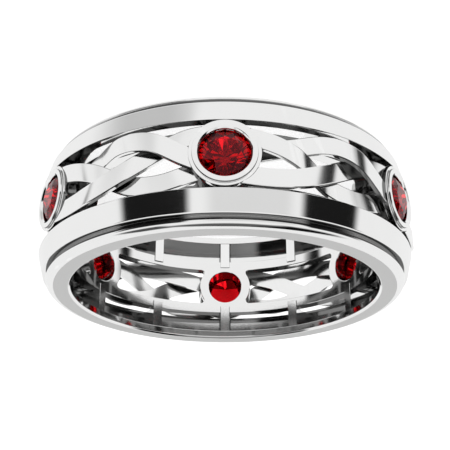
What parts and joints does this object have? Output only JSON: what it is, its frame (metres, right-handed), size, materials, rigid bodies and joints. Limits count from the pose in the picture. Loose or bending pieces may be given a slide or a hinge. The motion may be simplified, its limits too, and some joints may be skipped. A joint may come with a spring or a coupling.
{
  "type": "gemstone ring",
  "caption": "Wide metal ring with a flat ribbon braid between plain rails, round bezel-set red stones and a pierced inner sleeve.",
  "frame": {"origin": "on the ring's axis, in the plane of its lower side face, on which it lies", "axes": "+Z along the ring's axis, upwards out of the side face that the picture shows; -Y towards the bezel nearest the camera"},
  "size_m": [0.023, 0.0238, 0.0078],
  "materials": {
    "band_metal": "polished white metal, satin side faces",
    "braid_metal": "polished white metal",
    "garnet": "faceted and polished deep red stone"
  },
  "bodies": {
    "root": {"band": "band_metal", "braid_strand_1": "braid_metal", "braid_strand_2": "braid_metal", "braid_strand_3": "braid_metal", "garnet_1": "garnet", "garnet_2": "garnet", "garnet_3": "garnet", "garnet_4": "garnet", "garnet_5": "garnet", "garnet_6": "garnet"}
  },
  "joints": []
}
